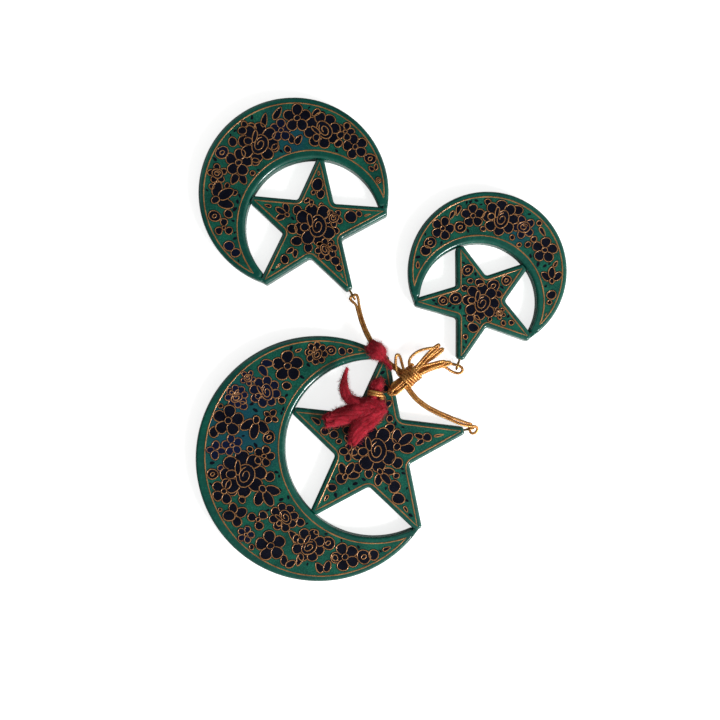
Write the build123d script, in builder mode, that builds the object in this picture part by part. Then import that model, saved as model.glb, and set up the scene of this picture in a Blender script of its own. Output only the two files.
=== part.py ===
from build123d import *
import math
import os

# A tied set of three crescent-and-star ornaments, lying face up, in mm.

# Board, rounded edges and glued joints, the same on all three
board = 5.5
edge_round = 1.2
tip_width = 3.0
tip_round = 1.3
horn_share = 0.52
notch_round = 1.5
glue_gap = 0.1

# Large ornament: crescent, star and where its eye lies
large_radius = 50.0
large_belly = 36.8
large_horn = 1.7
large_waist = 16.0
large_tip_extra = 1.25
large_eye_at = (36.09, -36.51)
large_points = 11.0

# Medium ornament
medium_radius = 38.75
medium_belly = 27.0
medium_horn = 2.9
medium_waist = 12.6
medium_tip_extra = 1.8
medium_eye_at = (-11.67, 18.14)
medium_points = -60.0

# Small ornament
small_radius = 32.4
small_belly = 21.5
small_horn = 2.2
small_waist = 10.9
small_tip_extra = 0.9
small_eye_at = (31.29, -10.44)
small_points = -107.3

# Wire eye in each hanging tip
wire = 0.9
eye_radius = 1.7
eye_neck = 0.3
eye_shank = 6.0
eye_closing = 335.0

# Metallic cord, laid double from each eye to the tie
cord = 1.1
strand_pitch = 1.6

# Hank of spare cord and the whipping round its waist
hank_at = (11.7, -14.9, 6.8)
hank_heading = 42.0
hank_tilt = 6.0
hank_front = 17.5
hank_back = 11.9
hank_step = 1.6
hank_core = 1.0
hank_layer = 1.17
whip_turns = 5
whip_radius = 3.9
whip_pitch = 1.6

# Red wool
wool = 5.4
wool_tail = 4.6
wool_thick = 6.2
binding_turns = 2

os.makedirs("parts", exist_ok=True)

side_turn = 72.0
far = 4.0 * large_radius
stand_off = eye_radius + wire / 2 + eye_neck
mid = board / 2


def polar(reach, degrees):
    angle = math.radians(degrees)
    return (reach * math.cos(angle), reach * math.sin(angle))


def arm_point(reach, across, degrees):
    angle = math.radians(degrees)
    x = reach * math.cos(angle) - across * math.sin(angle)
    y = reach * math.sin(angle) + across * math.cos(angle)
    return (x, y)


def bite(radius, belly, horn):
    # Radius of the bite and its offset, from the belly width and the horn width beside the star
    lean = math.cos(math.radians(side_turn))
    step = belly - radius
    a = 2 + 2 * lean
    b = 2 * horn + 2 * lean * (horn + step) + 2 * step
    c = horn**2 + 2 * lean * horn * step + step**2 - radius**2
    bite_radius = (-b + math.sqrt(b * b - 4 * a * c)) / (2 * a)
    return bite_radius, bite_radius + step


def make_crescent(radius, belly, horn, waist):
    bite_radius, offset = bite(radius, belly, horn)
    root = polar(waist, 108)
    tip = arm_point(bite_radius + horn, tip_width / 2, side_turn)
    run = math.hypot(tip[0] - root[0], tip[1] - root[1])
    along = ((tip[0] - root[0]) / run, (tip[1] - root[1]) / run)
    start = (root[0] - along[1] * glue_gap, root[1] + along[0] * glue_gap)
    end = (start[0] + along[0] * far, start[1] + along[1] * far)
    with BuildPart() as piece:
        with BuildSketch() as outline:
            with Locations((-offset, 0)):
                Circle(radius)
            Circle(bite_radius, mode=Mode.SUBTRACT)
            with BuildLine():
                Polyline(start, end, (end[0], -end[1]), (start[0], -start[1]), close=True)
            make_face(mode=Mode.SUBTRACT)
            one, other = [v for v in outline.vertices() if v.Y > 0]
            horn_end = math.hypot(one.X - other.X, one.Y - other.Y)
            fillet(outline.vertices(), horn_share * horn_end)
        extrude(amount=board)
        faces = piece.faces().sort_by(Axis.Z)
        fillet(faces[0].edges() + faces[-1].edges(), edge_round)
    return piece.part


def make_star(radius, belly, horn, waist, tip_extra):
    bite_radius, offset = bite(radius, belly, horn)
    seat = math.sqrt((bite_radius - glue_gap) ** 2 - (tip_width / 2) ** 2)
    hang = bite_radius + tip_extra
    reaches = [hang, bite_radius + horn, seat, seat, bite_radius + horn]
    points = []
    for i, reach in enumerate(reaches):
        heading = i * side_turn
        points.append(arm_point(reach, -tip_width / 2, heading))
        points.append(arm_point(reach, tip_width / 2, heading))
        points.append(polar(waist, heading + side_turn / 2))
    with BuildPart() as piece:
        with BuildSketch() as outline:
            with BuildLine():
                Polyline(*points, close=True)
            make_face()
            corners = outline.vertices().sort_by_distance((0, 0))
            fillet(corners[:5], notch_round)
            corners = outline.vertices().sort_by_distance((0, 0))
            fillet(corners[-10:], tip_round)
        extrude(amount=board)
        faces = piece.faces().sort_by(Axis.Z)
        fillet(faces[0].edges() + faces[-1].edges(), edge_round)
        with BuildSketch(Plane((hang - eye_shank, 0, mid), x_dir=(0, 1, 0), z_dir=(1, 0, 0))):
            Circle(wire / 2)
        extrude(amount=eye_shank + 1, mode=Mode.SUBTRACT)
    return piece.part


def make_eye():
    # Ring in the upright plane through the tip, closed on its own shank
    with BuildPart() as piece:
        with BuildSketch():
            with Locations((-eye_radius, 0)):
                Circle(wire / 2)
        revolve(axis=Axis.Y, revolution_arc=eye_closing)
        with BuildSketch(Plane((-stand_off - eye_shank, 0, 0), x_dir=(0, 1, 0), z_dir=(1, 0, 0))):
            Circle(wire / 2)
        extrude(amount=eye_shank + stand_off - eye_radius)
    return piece.part


def place_by_eye(piece, eye_at, points, reach, height):
    return Pos(eye_at[0], eye_at[1], height) * Rot(0, 0, points) * Pos(-reach, 0, 0) * piece


def make_ornament(name, radius, belly, horn, waist, tip_extra, eye_at, points):
    bite_radius, offset = bite(radius, belly, horn)
    reach = bite_radius + tip_extra + stand_off
    crescent = place_by_eye(make_crescent(radius, belly, horn, waist), eye_at, points, reach, 0)
    crescent.label = name + "_crescent"
    export_step(crescent, "parts/" + name + "_crescent.step")
    star = place_by_eye(make_star(radius, belly, horn, waist, tip_extra), eye_at, points, reach, 0)
    star.label = name + "_star"
    export_step(star, "parts/" + name + "_star.step")
    eye = place_by_eye(make_eye(), eye_at, points, 0, mid)
    eye.label = name + "_eye"
    export_step(eye, "parts/" + name + "_eye.step")
    centre = arm_point(-reach - offset, 0, points)
    print(
        name,
        "bite radius %.2f offset %.2f" % (bite_radius, offset),
        "crescent centre %.2f %.2f" % (eye_at[0] + centre[0], eye_at[1] + centre[1]),
        "volumes %.0f %.0f" % (crescent.volume, star.volume),
    )


def turns(points, share):
    radii = []
    for before, here, after in zip(points, points[1:], points[2:]):
        first = Vector(here) - Vector(before)
        second = Vector(after) - Vector(here)
        half = math.radians(first.get_angle(second)) / 2
        radii.append(share * min(first.length, second.length) / math.tan(half))
    return radii


def make_tube(name, points, thick, share=0.45):
    radii = turns(points, share)
    with BuildPart() as piece:
        with BuildLine() as path:
            FilletPolyline(*points, radius=radii)
        line = path.wire()
        with BuildSketch(Plane(line @ 0, z_dir=line % 0)):
            Circle(thick / 2)
        sweep(path=line)
    tube = piece.part
    tube.label = name
    export_step(tube, "parts/" + name + ".step")
    length = line.length
    full = math.pi * thick**2 / 4 * length
    print(
        name,
        "length %.1f" % length,
        "volume share %.3f" % (tube.volume / full),
        "least radius %.2f" % min(radii),
        "lowest %.2f" % tube.bounding_box().min.Z,
    )
    return line


def doubled(route):
    # Two strands beside one chosen centre line, left and right of the way to the eye
    left = []
    right = []
    for i, here in enumerate(route):
        back = route[max(i - 1, 0)]
        ahead = route[min(i + 1, len(route) - 1)]
        run = math.hypot(ahead[0] - back[0], ahead[1] - back[1])
        across = (-(ahead[1] - back[1]) / run, (ahead[0] - back[0]) / run)
        step = strand_pitch / 2
        left.append((here[0] + across[0] * step, here[1] + across[1] * step, here[2]))
        right.append((here[0] - across[0] * step, here[1] - across[1] * step, here[2]))
    return left, right


def hitched(route, hitch, eye_at, points):
    left, right = doubled(route)
    loop = []
    for along, across, height in hitch:
        x, y = arm_point(along, across, points)
        loop.append((eye_at[0] + x, eye_at[1] + y, height))
    return left + loop + right[::-1]


def least_gap(line, thick):
    # Nearest approach of a winding to itself, on points further apart along it than a tight turn
    count = int(line.length / 0.5)
    spots = [line @ (i / count) for i in range(count + 1)]
    best = far
    for i, one in enumerate(spots):
        for other in spots[i + int(3.2 * thick / 0.5):]:
            best = min(best, (one - other).length)
    return best - thick


make_ornament(
    "large", large_radius, large_belly, large_horn, large_waist,
    large_tip_extra, large_eye_at, large_points,
)
make_ornament(
    "medium", medium_radius, medium_belly, medium_horn, medium_waist,
    medium_tip_extra, medium_eye_at, medium_points,
)
make_ornament(
    "small", small_radius, small_belly, small_horn, small_waist,
    small_tip_extra, small_eye_at, small_points,
)

# Cords: the route from the tie to the eye, then the loop through the eye along and across its tip
large_route = [
    (9.0, -17.2, 6.8),
    (13.2, -22.6, 6.9),
    (18.2, -27.4, 6.9),
    (24.0, -31.2, 6.8),
]
large_hitch = [
    (-7.6, 4.7, 6.4),
    (-3.0, 4.9, 5.2),
    (1.2, 4.4, 3.6),
    (3.2, 2.2, mid),
    (3.2, -1.8, mid),
    (0.0, -1.8, mid),
    (0.0, 1.7, mid),
    (-2.2, 3.0, 4.4),
    (-5.2, 3.1, 6.5),
]
make_tube("large_cord", hitched(large_route, large_hitch, large_eye_at, large_points), cord)

medium_route = [
    (8.4, -13.6, 7.0),
    (2.7, -9.9, 7.2),
    (-1.8, -5.0, 7.1),
    (-4.9, 0.2, 6.2),
    (-7.4, 5.8, 4.5),
    (-9.0, 11.2, 3.2),
]
medium_hitch = [
    (4.4, -0.9, 2.8),
    (2.7, -2.1, mid),
    (0.0, -2.1, mid),
    (0.0, 2.1, mid),
    (2.7, 2.1, mid),
    (4.4, 0.9, 2.8),
]
make_tube("medium_cord", hitched(medium_route, medium_hitch, medium_eye_at, medium_points), cord)

small_route = [
    (11.6, -14.6, 6.6),
    (15.6, -12.9, 6.0),
    (20.6, -11.2, 4.8),
]
small_hitch = [
    (0.8, -5.4, 3.4),
    (0.0, -1.8, mid),
    (0.0, 1.8, mid),
    (3.2, 1.8, mid),
    (3.2, -1.8, mid),
    (2.6, -5.6, 3.4),
]
make_tube("small_cord", hitched(small_route, small_hitch, small_eye_at, small_points), cord)

# Hank: loops of spare cord in two layers, wound inward, then outward on top
inner = hank_core
outer = hank_core + hank_step
low = -hank_layer
high = hank_layer
short_front = hank_front - hank_step
short_back = hank_back - hank_step
hank_points = [
    (0, -outer, low),
    (hank_front, -outer, low),
    (hank_front, outer, low),
    (-hank_back, outer, low),
    (-hank_back, -inner, low),
    (short_front, -inner, low),
    (short_front, inner, low),
    (-short_back, inner, low),
    (-short_back, -inner, high),
    (short_front, -inner, high),
    (short_front, inner, high),
    (-hank_back, inner, high),
    (-hank_back, -outer, high),
    (hank_front, -outer, high),
    (hank_front, outer, high),
    (0, outer, high),
]
hank_place = Pos(*hank_at) * Rot(0, 0, hank_heading) * Rot(0, hank_tilt, 0)


def on_hank(points):
    return [tuple((hank_place * Pos(*p)).position) for p in points]


hank_line = make_tube("cord_hank", on_hank(hank_points), cord, 0.47)
print("hank least gap %.2f" % least_gap(hank_line, cord))

# Whipping: close turns round the waist, a quarter turn at a time
whip_points = []
for i in range(4 * whip_turns + 1):
    y, z = polar(whip_radius * math.sqrt(2), 45 + 90 * i)
    whip_points.append((whip_pitch * (i / 4 - whip_turns / 2), y, z))
whip_line = make_tube("hank_whipping", on_hank(whip_points), cord, 0.47)
print("whipping least gap %.2f" % least_gap(whip_line, cord))

# Loose bight that stands off the hank beside the whipping
bight_points = [
    (2.2, 3.4, 2.6),
    (3.4, 5.2, 2.4),
    (7.0, 5.6, 2.2),
    (11.2, 4.4, 2.6),
    (15.0, 1.6, 2.6),
]
make_tube("loose_bight", on_hank(bight_points), cord)

# Red wool: sleeve on the medium cord, knot on the star, and three loose tails
sleeve_route = [
    (-4.4, -1.2, 8.6),
    (-1.2, -5.4, 8.9),
    (2.4, -9.2, 8.9),
    (5.4, -12.6, 8.6),
]
make_tube("wool_sleeve", sleeve_route, wool)

knot_route = [
    (3.6, -14.6, 9.2),
    (0.6, -17.0, 9.3),
    (-1.6, -20.0, 9.4),
    (-2.4, -23.8, 9.4),
]
make_tube("wool_knot", knot_route, wool_tail)

tail_up_route = [
    (-3.6, -26.4, 9.0),
    (-9.2, -26.6, 8.6),
    (-14.4, -24.0, 8.4),
    (-16.8, -18.8, 8.4),
    (-15.4, -13.0, 8.6),
]
make_tube("wool_tail_up", tail_up_route, wool_tail)

tail_left_route = [
    (-3.8, -27.4, 9.4),
    (-10.6, -30.6, 9.2),
    (-16.6, -32.2, 9.2),
    (-22.6, -36.0, 9.0),
]
make_tube("wool_tail_left", tail_left_route, wool_thick)

tail_down_route = [
    (-1.6, -26.4, 9.4),
    (-4.8, -31.6, 9.2),
    (-8.6, -36.6, 9.2),
    (-11.4, -42.4, 9.0),
]
make_tube("wool_tail_down", tail_down_route, wool_thick)

# Cord binding round the wool below its knot
binding_place = Pos(-2.15, -22.6, 9.4) * Rot(0, 0, -104)
binding_points = []
for i in range(4 * binding_turns + 1):
    reach = (wool_tail / 2 + cord / 2 + 0.1) * math.sqrt(2)
    y, z = polar(reach, 45 + 90 * i)
    spot = (binding_place * Pos(hank_step * (i / 4 - binding_turns / 2), y, z)).position
    binding_points.append(tuple(spot))
make_tube("wool_binding", binding_points, cord, 0.47)
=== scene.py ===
import bpy
import math
import random
from mathutils import Matrix, Vector


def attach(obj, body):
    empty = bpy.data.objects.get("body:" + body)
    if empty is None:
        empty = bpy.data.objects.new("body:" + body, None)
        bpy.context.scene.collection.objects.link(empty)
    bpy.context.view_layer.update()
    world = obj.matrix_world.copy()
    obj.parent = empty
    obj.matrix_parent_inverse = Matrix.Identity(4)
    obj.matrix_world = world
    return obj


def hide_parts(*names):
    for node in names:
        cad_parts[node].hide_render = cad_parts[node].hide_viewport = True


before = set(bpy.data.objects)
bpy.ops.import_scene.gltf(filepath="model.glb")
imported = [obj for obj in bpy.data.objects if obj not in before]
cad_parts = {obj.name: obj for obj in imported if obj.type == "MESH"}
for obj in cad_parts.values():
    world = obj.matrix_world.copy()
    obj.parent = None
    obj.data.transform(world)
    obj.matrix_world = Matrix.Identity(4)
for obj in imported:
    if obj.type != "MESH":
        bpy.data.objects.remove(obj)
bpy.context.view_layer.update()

# The view: the set lies face up on a table, and the camera is held flat above it,
# a little nearer the large ornament than the middle of the picture.
mm = 0.001
face_height = 5.5
view_height = 300.0
view_width = 292.2
camera = bpy.data.cameras.new("table_view")
camera.sensor_width = 36.0
camera.lens = camera.sensor_width * view_height / view_width
camera.shift_x = -0.022
camera.shift_y = 0.069
camera.clip_start = 10 * mm
viewer = bpy.data.objects.new("table_view", camera)
viewer.location = (-2.2 * mm, -28.6 * mm, (face_height + view_height) * mm)
bpy.context.scene.collection.objects.link(viewer)
bpy.context.scene.camera = viewer


# The table and the light: a plain white table top, one broad soft light low on the
# right and near side, a weaker one opposite, and a room that is bright on that side only.
def link(thing):
    bpy.context.scene.collection.objects.link(thing)
    return thing


def feed(tree, node, inputs):
    for socket, value in inputs.items():
        if isinstance(value, bpy.types.NodeSocket):
            tree.links.new(value, node.inputs[socket])
        else:
            node.inputs[socket].default_value = value


def add_node(tree, kind, inputs=None, **settings):
    node = tree.nodes.new(kind)
    for name, value in settings.items():
        setattr(node, name, value)
    feed(tree, node, inputs or {})
    return node


def math_node(tree, kind, *values):
    return add_node(tree, "ShaderNodeMath", dict(enumerate(values)), operation=kind).outputs[0]


def new_material(name):
    made = bpy.data.materials.new(name)
    made.use_nodes = True
    return made, made.node_tree, made.node_tree.nodes["Principled BSDF"]


def soft_light(name, place, size, power):
    lamp = bpy.data.lights.new(name, "AREA")
    lamp.shape = "DISK"
    lamp.size = size
    lamp.energy = power
    stand = link(bpy.data.objects.new(name, lamp))
    stand.location = place
    aim = -stand.location
    stand.rotation_euler = aim.to_track_quat("-Z", "Y").to_euler()


table_half = 2.0
table_level = -0.1 * mm
table_mesh = bpy.data.meshes.new("table_top")
table_mesh.from_pydata(
    [(-table_half, -table_half, table_level), (table_half, -table_half, table_level),
     (table_half, table_half, table_level), (-table_half, table_half, table_level)],
    [], [(0, 1, 2, 3)],
)
table_glow = 0.75
table_paint, tree, shader = new_material("table_white")
seen = add_node(tree, "ShaderNodeLightPath").outputs["Is Camera Ray"]
feed(tree, shader, {
    "Base Color": (0.93, 0.93, 0.92, 1), "Roughness": 0.9, "Specular IOR Level": 0.1,
    "Emission Color": (1, 1, 1, 1), "Emission Strength": math_node(tree, "MULTIPLY", seen, table_glow),
})
table_mesh.materials.append(table_paint)
table_top = link(bpy.data.objects.new("table_top", table_mesh))

soft_light("near_right_light", (0.44, -0.38, 0.32), 0.24, 4.6)
soft_light("far_left_light", (-0.55, 0.60, 0.55), 0.9, 0.9)

room = bpy.data.worlds.new("pale_room")
room.use_nodes = True
bpy.context.scene.world = room
sky = room.node_tree
bright_side = (0.70, -0.65, -0.30)
where = add_node(sky, "ShaderNodeTexCoord").outputs["Generated"]
side = add_node(sky, "ShaderNodeVectorMath", {0: where, 1: bright_side}, operation="DOT_PRODUCT")
spread = add_node(sky, "ShaderNodeMapRange", {
    "Value": side.outputs["Value"], "From Min": -0.5, "From Max": 0.9,
})
fade = add_node(sky, "ShaderNodeValToRGB", {0: spread.outputs[0]})
fade.color_ramp.elements[0].color = (0.06, 0.06, 0.06, 1)
fade.color_ramp.elements[1].color = (0.95, 0.95, 0.95, 1)
lit = sky.nodes["Background"]
feed(sky, lit, {"Color": fade.outputs[0], "Strength": 0.8})
backdrop = add_node(sky, "ShaderNodeBackground", {"Color": (1, 1, 1, 1)})
seen = add_node(sky, "ShaderNodeLightPath").outputs["Is Camera Ray"]
either = add_node(sky, "ShaderNodeMixShader", {
    "Fac": seen, 1: lit.outputs["Background"], 2: backdrop.outputs["Background"],
})
feed(sky, sky.nodes["World Output"], {"Surface": either.outputs["Shader"]})
bpy.context.scene.view_settings.view_transform = "Standard"


# The boards: each crescent and the star glued in its bite are papier-mache board,
# rounded at every edge and coated green-teal under clear gloss lacquer.
def new_group(name, kind, inputs, outputs):
    tree = bpy.data.node_groups.new(name, kind)
    for in_out, sockets in (("INPUT", inputs), ("OUTPUT", outputs)):
        for socket, form in sockets.items():
            tree.interface.new_socket(socket, in_out=in_out, socket_type="NodeSocket" + form)
    given = add_node(tree, "NodeGroupInput").outputs
    return tree, given, add_node(tree, "NodeGroupOutput")


def mottled_paint():
    group, given, handed = new_group(
        "mottled_paint", "ShaderNodeTree",
        {"Light": "Color", "Deep": "Color", "Blotch scale": "Float", "Grain scale": "Float",
         "Grain depth": "Float"},
        {"Color": "Color", "Roughness": "Float", "Height": "Float"},
    )
    place = add_node(group, "ShaderNodeTexCoord").outputs["Object"]
    blotch = add_node(group, "ShaderNodeTexNoise", {
        "Vector": place, "Scale": given["Blotch scale"], "Detail": 3.0,
    })
    spread = add_node(group, "ShaderNodeMapRange", {
        "Value": blotch.outputs["Fac"], "From Min": 0.35, "From Max": 0.65,
    })
    blend = add_node(group, "ShaderNodeMix", {
        "Factor": spread.outputs[0], "A": given["Light"], "B": given["Deep"],
    }, data_type="RGBA")
    grain = add_node(group, "ShaderNodeTexNoise", {
        "Vector": place, "Scale": given["Grain scale"], "Detail": 4.0,
    }).outputs["Fac"]
    shade = add_node(group, "ShaderNodeMapRange", {
        "Value": grain, "From Min": 0.3, "From Max": 0.62, "To Min": 0.45, "To Max": 1.0,
    })
    speck = add_node(group, "ShaderNodeMix", {
        "Factor": given["Grain depth"], "A": blend.outputs["Result"], "B": shade.outputs[0],
    }, data_type="RGBA", blend_type="MULTIPLY")
    dull = add_node(group, "ShaderNodeMapRange", {"Value": grain, "To Min": 0.16, "To Max": 0.36})
    feed(group, handed, {
        "Color": speck.outputs["Result"], "Roughness": dull.outputs[0], "Height": grain,
    })
    return group


paint_group = mottled_paint()


def painted(name, light, deep, scales, bump, constants):
    made, tree, shader = new_material(name)
    blotch_scale, grain_scale, grain_depth = scales
    tone = add_node(tree, "ShaderNodeGroup", node_tree=paint_group)
    feed(tree, tone, {
        "Light": (*light, 1), "Deep": (*deep, 1), "Blotch scale": blotch_scale,
        "Grain scale": grain_scale, "Grain depth": grain_depth,
    })
    depth, strength = bump
    rough = add_node(tree, "ShaderNodeBump", {
        "Distance": depth * mm, "Strength": strength, "Height": tone.outputs["Height"],
    })
    feed(tree, shader, {
        "Base Color": tone.outputs["Color"], "Roughness": tone.outputs["Roughness"],
        "Normal": rough.outputs["Normal"], **constants,
    })
    return made


def coat(node, material):
    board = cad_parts[node]
    board.data.materials.clear()
    board.data.materials.append(material)


rim_light = (0.003, 0.118, 0.080)
rim_deep = (0.002, 0.074, 0.056)
rim_lacquer = painted("rim_lacquer", rim_light, rim_deep, (70.0, 520.0, 0.35), (0.12, 0.8), {
    "Coat Weight": 0.9, "Coat Roughness": 0.09, "Specular IOR Level": 0.4,
})
for size in ("large", "medium", "small"):
    coat(size + "_crescent", rim_lacquer)
    coat(size + "_star", rim_lacquer)


# The glued joints: where a side arm of the star runs out along a horn, the seam is
# filled flush with paste and lacquered over together with the boards.
eye_stand = 2.45
half_tip = 1.5


class Ornament:
    def __init__(self, name, radius, bite, offset, waist, reaches, eye_at, points, insets):
        self.name = name
        self.radius = radius
        self.bite = bite
        self.offset = offset
        self.waist = waist
        self.reaches = reaches
        self.eye_at = eye_at
        self.heading = math.radians(points)
        self.belly_inset, self.bite_inset = insets
        reach = reaches[0] + eye_stand
        self.star_at = (
            eye_at[0] - reach * math.cos(self.heading),
            eye_at[1] - reach * math.sin(self.heading),
        )
        self.petals = []
        self.strokes = []

    def place(self, x, y):
        c = math.cos(self.heading)
        s = math.sin(self.heading)
        return (self.star_at[0] + x * c - y * s, self.star_at[1] + x * s + y * c)


ornaments = [
    Ornament(
        "large", radius=50.0, bite=36.17, offset=22.97, waist=16.0,
        reaches=(37.42, 37.87, 36.0, 36.0, 37.87), eye_at=(36.09, -36.51), points=11.0, insets=(4.0, 2.6),
    ),
    Ornament(
        "medium", radius=38.75, bite=27.78, offset=16.03, waist=12.6,
        reaches=(29.58, 30.68, 27.6, 27.6, 30.68), eye_at=(-11.67, 18.14), points=-60.0, insets=(2.8, 3.1),
    ),
    Ornament(
        "small", radius=32.4, bite=23.80, offset=12.90, waist=10.9,
        reaches=(24.70, 26.0, 23.6, 23.6, 26.0), eye_at=(31.29, -10.44), points=-107.3, insets=(2.4, 2.9),
    ),
]


def mesh_piece(name, verts, faces, material):
    mesh = bpy.data.meshes.new(name)
    mesh.from_pydata(verts, [], faces)
    mesh.validate()
    mesh.materials.append(material)
    return link(bpy.data.objects.new(name, mesh))


def seam_filling(shape, side, verts, faces):
    sunk = 0.03
    along_outline = (5.0, 3.8, 2.6, 1.4, 0.2)
    inner_back = 4.6
    depth = 2.0
    arm = math.radians(72)
    out = (math.cos(arm), math.sin(arm))
    tip = (shape.reaches[1] * out[0], shape.reaches[1] * out[1])
    bearing = math.atan2(tip[1], tip[0] + shape.offset)
    reach = math.hypot(tip[0] + shape.offset, tip[1]) - sunk
    loop = []
    for back in along_outline:
        angle = bearing + back / reach
        loop.append((reach * math.cos(angle) - shape.offset, reach * math.sin(angle)))
    loop.append((tip[0] - depth * out[0], tip[1] - depth * out[1]))
    angle = bearing + inner_back / reach
    inner = reach - depth
    loop.append((inner * math.cos(angle) - shape.offset, inner * math.sin(angle)))
    middle = (sum(x for x, y in loop) / len(loop), sum(y for x, y in loop) / len(loop))
    edge_round = 1.17
    lower = [math.radians(22.5 * k) for k in range(5)]
    levels = [(edge_round * (1 - math.sin(t)), sunk + edge_round * (1 - math.cos(t))) for t in lower]
    levels += [(inset, face_height - height) for inset, height in levels[::-1]]
    first = len(verts)
    count = len(loop)
    for inset, height in levels:
        for x, y in loop:
            share = 1 - inset / math.dist((x, y), middle)
            spot = shape.place(
                middle[0] + (x - middle[0]) * share, side * (middle[1] + (y - middle[1]) * share)
            )
            verts.append((spot[0] * mm, spot[1] * mm, height * mm))
    turn = -side
    top = first + count * (len(levels) - 1)
    faces.append([first + i for i in range(count)][::-turn])
    faces.append([top + i for i in range(count)][::turn])
    for level in range(len(levels) - 1):
        low = first + count * level
        for i in range(count):
            j = (i + 1) % count
            faces.append([low + i, low + j, low + count + j, low + count + i][::turn])


for shape in ornaments:
    verts = []
    faces = []
    for side in (1, -1):
        seam_filling(shape, side, verts, faces)
    filling = mesh_piece(shape.name + "_seam_filling", verts, faces, rim_lacquer)
    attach(filling, shape.name + "_ornament")


# The brass eyes: a ring bent from brass wire on a plain shank, which is pressed into a
# hole in each hanging tip; the cord is hitched through the ring.
brass_light = (0.62, 0.36, 0.12)
brass_deep = (0.33, 0.17, 0.05)
brass = painted("eye_brass", brass_light, brass_deep, (900.0, 2400.0, 0.4), (0.02, 0.4), {"Metallic": 1.0})
for size in ("large", "medium", "small"):
    coat(size + "_eye", brass)


# The painted ground: inside the gold border each face has a second, mottled coat of
# green with one bluer patch on each crescent, brushed on by hand.
horn_inset = 2.0
star_inset = 1.9


def crescent_border(shape):
    outer = shape.radius - horn_inset
    inner = shape.bite + shape.bite_inset
    lean = (outer**2 - inner**2 - shape.offset**2) / (2 * inner * shape.offset)
    inner_end = math.acos(lean)
    outer_end = math.atan2(inner * math.sin(inner_end), inner * lean + shape.offset)
    steps = 72
    points = []
    for i in range(steps + 1):
        angle = outer_end + (2 * math.pi - 2 * outer_end) * i / steps
        swell = ((1 - math.cos(angle)) / 2) ** 3
        reach = outer - (shape.belly_inset - horn_inset) * swell
        points.append(shape.place(reach * math.cos(angle) - shape.offset, reach * math.sin(angle)))
    for i in range(1, steps):
        angle = 2 * math.pi - inner_end - (2 * math.pi - 2 * inner_end) * i / steps
        points.append(shape.place(inner * math.cos(angle), inner * math.sin(angle)))
    return points


def star_border(shape):
    fifth = math.radians(72)
    notch = math.radians(36)
    placed = []
    for i, reach in enumerate(shape.reaches):
        root = (shape.waist * math.cos(notch), shape.waist * math.sin(notch))
        run = math.hypot(reach - root[0], half_tip - root[1])
        along = ((reach - root[0]) / run, (half_tip - root[1]) / run)
        start = (root[0] + along[1] * star_inset, root[1] - along[0] * star_inset)
        tip = start[0] - along[0] * start[1] / along[1]
        side = math.cos(notch) * start[1] - math.sin(notch) * start[0]
        slope = math.sin(notch) * along[0] - math.cos(notch) * along[1]
        foot = (start[0] + along[0] * side / slope, start[1] + along[1] * side / slope)
        edge = [
            (foot[0] + (tip - foot[0]) * share, foot[1] * (1 - share))
            for share in (0.13, 0.35, 0.57, 0.79)
        ]
        arm = [(x, -y) for x, y in edge] + [(tip, 0.0)] + edge[::-1]
        here = edge[0]
        there = (
            here[0] * math.cos(fifth) + here[1] * math.sin(fifth),
            here[0] * math.sin(fifth) - here[1] * math.cos(fifth),
        )
        for t in (0.2, 0.4, 0.6, 0.8):
            arm.append(tuple(
                (1 - t) ** 2 * a + 2 * t * (1 - t) * b + t ** 2 * c
                for a, b, c in zip(here, foot, there)
            ))
        c = math.cos(i * fifth)
        s = math.sin(i * fifth)
        placed.extend(shape.place(x * c - y * s, x * s + y * c) for x, y in arm)
    return placed


def prism(loop, low, high, verts, faces):
    first = len(verts)
    count = len(loop)
    for level in (low, high):
        verts.extend((x * mm, y * mm, level * mm) for x, y in loop)
    area = sum(
        loop[i - 1][0] * loop[i][1] - loop[i][0] * loop[i - 1][1] for i in range(count)
    )
    order = list(range(count)) if area > 0 else list(range(count - 1, -1, -1))
    faces.append([first + count + i for i in order])
    faces.append([first + i for i in reversed(order)])
    for a, b in zip(order, order[1:] + order[:1]):
        faces.append([first + a, first + b, first + count + b, first + count + a])


ground_top = face_height + 0.02
paint_foot = face_height - 0.2
ground_light = (0.010, 0.150, 0.095)
ground_deep = (0.006, 0.085, 0.060)
ground_blue = (0.008, 0.075, 0.115)
blue_most = 0.85


def tinted(material, share, colour):
    tree = material.node_tree
    shader = tree.nodes["Principled BSDF"]
    paint = shader.inputs["Base Color"].links[0].from_socket
    blend = add_node(
        tree, "ShaderNodeMix", {"Factor": share, "A": paint, "B": (*colour, 1)}, data_type="RGBA"
    )
    feed(tree, shader, {"Base Color": blend.outputs["Result"]})


def ground_paint(name, blue_x, blue_y, blue_reach):
    made = painted(name, ground_light, ground_deep, (150.0, 1500.0, 0.55), (0.05, 0.6), {
        "Coat Weight": 0.3, "Coat Roughness": 0.2, "Specular IOR Level": 0.3,
    })
    tree = made.node_tree
    place = add_node(tree, "ShaderNodeTexCoord").outputs["Object"]
    centre = add_node(tree, "ShaderNodeMapping", {
        "Vector": place, "Location": (blue_x * mm, blue_y * mm, 0), "Scale": (blue_reach * mm,) * 3,
    }, vector_type="TEXTURE")
    ball = add_node(
        tree, "ShaderNodeTexGradient", {"Vector": centre.outputs["Vector"]}, gradient_type="SPHERICAL"
    )
    patch = add_node(tree, "ShaderNodeTexNoise", {"Vector": place, "Scale": 110.0, "Detail": 2.0})
    share = add_node(tree, "ShaderNodeMapRange", {
        "Value": math_node(tree, "MULTIPLY", ball.outputs["Fac"], patch.outputs["Fac"]),
        "From Min": 0.12, "From Max": 0.36, "To Max": blue_most,
    })
    tinted(made, share.outputs[0], ground_blue)
    return made


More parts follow.
